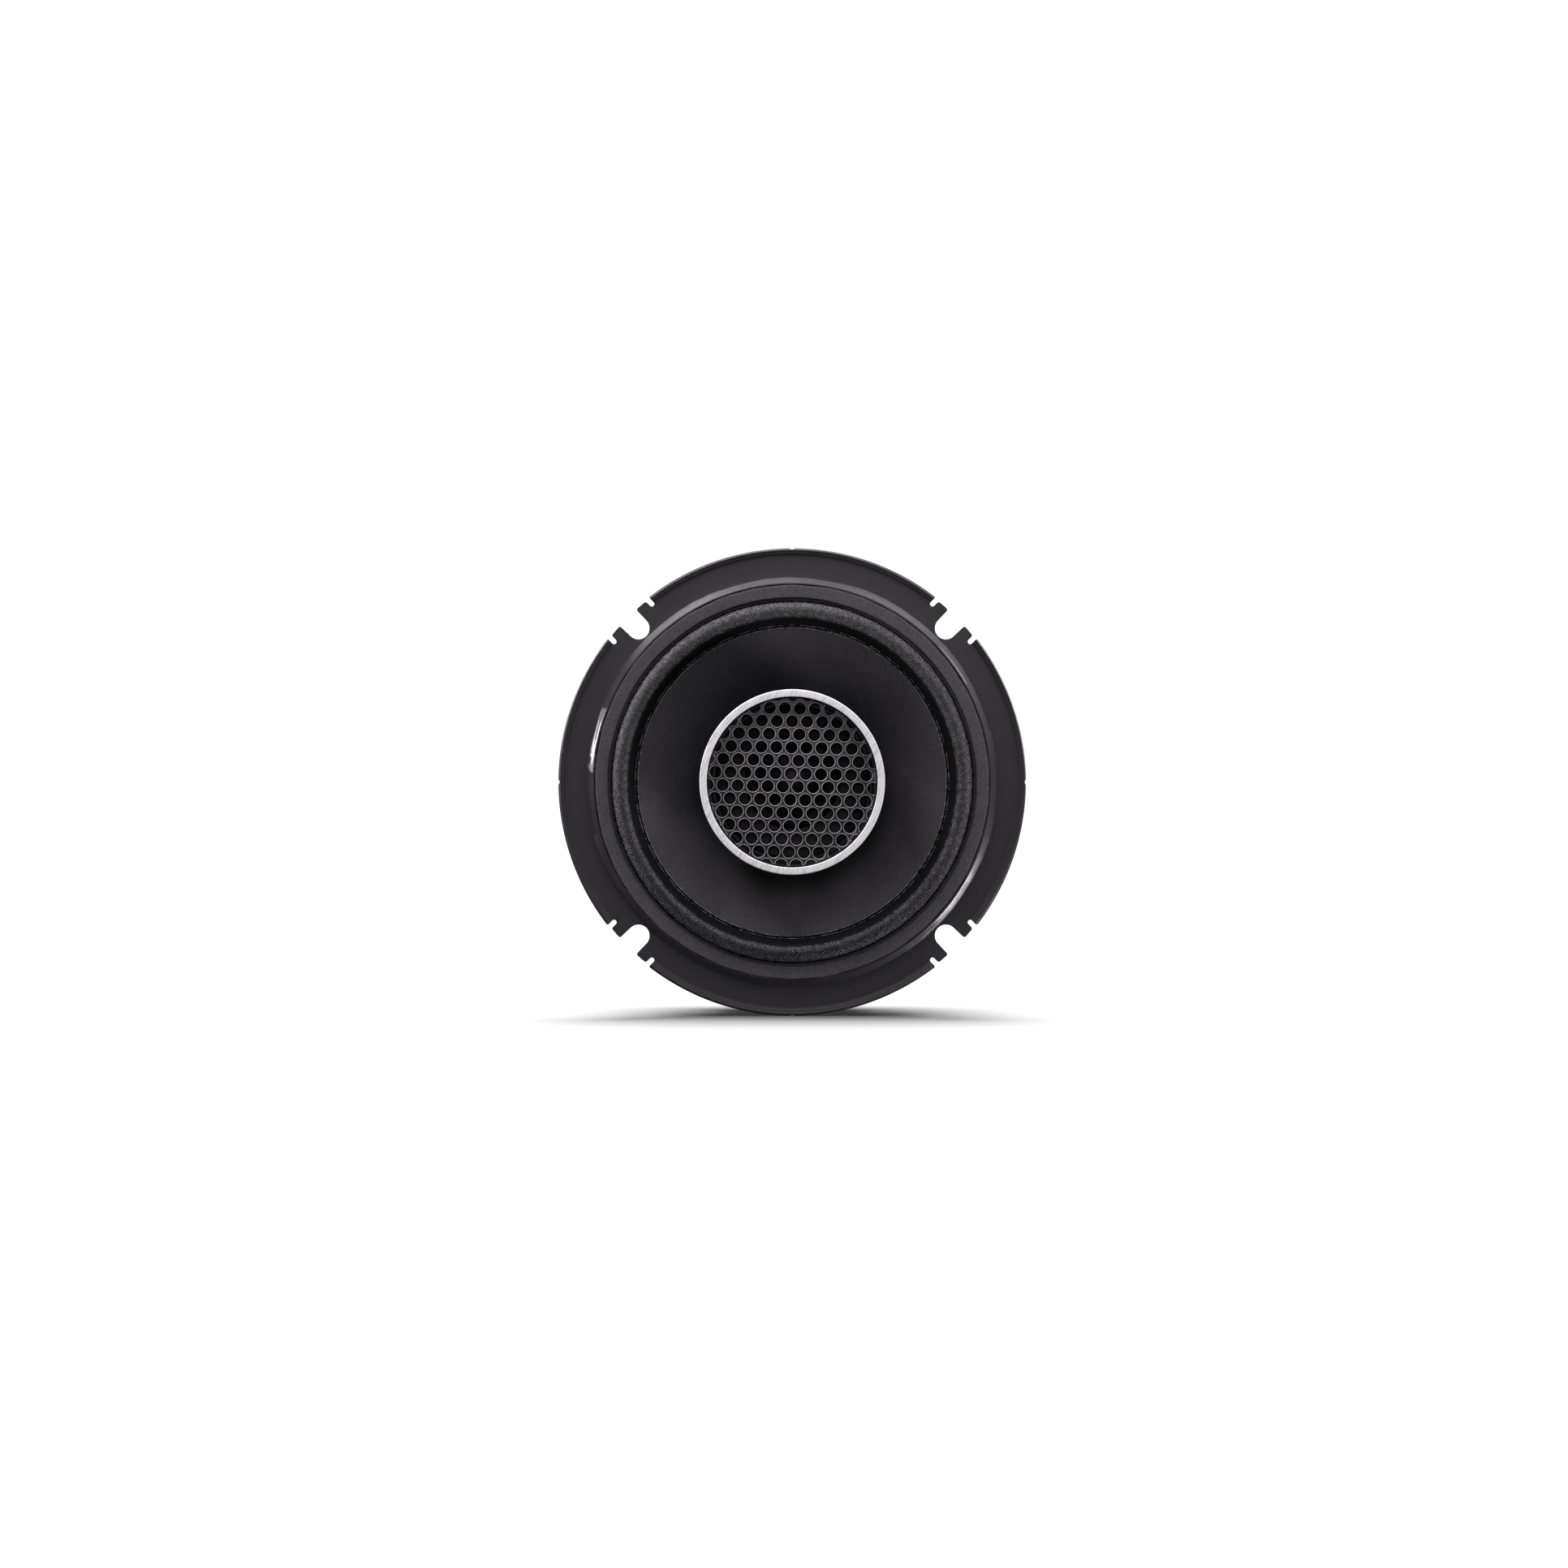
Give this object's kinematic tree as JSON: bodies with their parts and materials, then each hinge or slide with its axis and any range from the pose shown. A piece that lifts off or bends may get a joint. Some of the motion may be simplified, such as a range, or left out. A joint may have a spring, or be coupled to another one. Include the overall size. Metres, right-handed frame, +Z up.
{
  "type": "coaxial car speaker",
  "caption": "Round coaxial car speaker: flanged steel basket with open screw slots, paper cone in a cloth surround, and a dome tweeter behind a grille on a central post.",
  "frame": {"origin": "on the speaker's axis, in the plane of the flange's rear face, which meets the mounting panel", "axes": "-Y is the way the speaker looks, +Y runs to the magnet, +Z is up, +X is to the right seen from the front"},
  "size_m": [0.133, 0.0707, 0.133],
  "materials": {
    "basket_paint": "satin charcoal powder coat",
    "gasket_board": "dense grey fibre board",
    "surround_cloth": "sealed black woven cloth with a gloss on the threads",
    "cone_fibre": "pressed black paper fibre",
    "black_adhesive": "glossy black adhesive",
    "spider_cloth": "resin-dipped yellow-brown woven cloth",
    "coil_former": "amber polyimide",
    "copper_winding": "varnished copper wire",
    "plated_steel": "zinc-plated, turned",
    "ferrite": "ground dark grey ferrite",
    "rivet_steel": "plated, satin",
    "felt": "black felt",
    "phenolic_board": "brown laminated board",
    "tin_plate": "tin-plated brass",
    "capacitor_sleeve": "blue shrink sleeve",
    "braided_copper": "braided copper tinsel",
    "solder": "solder",
    "post_aluminium": "turned aluminium",
    "pod_plastic": "black moulded plastic",
    "trim_aluminium": "bright turned aluminium",
    "grille_steel": "dark grey painted perforated steel",
    "faceplate_plastic": "black moulded plastic",
    "dome_film": "dark polymer film",
    "suspension_cloth": "black treated cloth",
    "neodymium": "nickel-plated",
    "lead_insulation": "red and black PVC insulation"
  },
  "bodies": {
    "frame": {"basket": "basket_paint", "gasket": "gasket_board", "surround": "surround_cloth", "spider": "spider_cloth", "top_plate": "plated_steel", "magnet": "ferrite", "yoke": "plated_steel", "basket_rivets": "rivet_steel", "dust_ring": "felt", "terminal_board": "phenolic_board", "terminal_positive": "tin_plate", "terminal_negative": "tin_plate", "terminal_rivets": "rivet_steel", "capacitor": "capacitor_sleeve", "tinsel_leads": "braided_copper", "tweeter_post": "post_aluminium", "post_washer": "plated_steel", "post_nut": "plated_steel", "tweeter_leads": "lead_insulation", "tweeter_housing": "pod_plastic", "tweeter_trim_ring": "trim_aluminium", "tweeter_grille": "grille_steel", "tweeter_faceplate": "faceplate_plastic", "tweeter_suspension": "suspension_cloth", "tweeter_top_plate": "plated_steel", "tweeter_magnet": "neodymium", "tweeter_yoke": "plated_steel"},
    "cone_assembly": {"cone": "cone_fibre", "cone_edge_bead": "black_adhesive", "voice_coil_former": "coil_former", "voice_coil_winding": "copper_winding", "tinsel_eyelets": "solder"},
    "tweeter_diaphragm": {"tweeter_dome": "dome_film", "tweeter_voice_coil": "copper_winding"}
  },
  "joints": [
    {"name": "cone_excursion", "type": "slide", "parent": "frame", "child": "cone_assembly", "axis": [0, -1, 0], "range_m": [-0.004, 0.004], "stiffness_N_per_m": 2000, "deforming": ["surround", "spider", "tinsel_leads"]},
    {"name": "tweeter_excursion", "type": "slide", "parent": "frame", "child": "tweeter_diaphragm", "axis": [0, -1, 0], "range_m": [-0.0003, 0.0003], "stiffness_N_per_m": 4000, "deforming": ["tweeter_suspension"]}
  ]
}
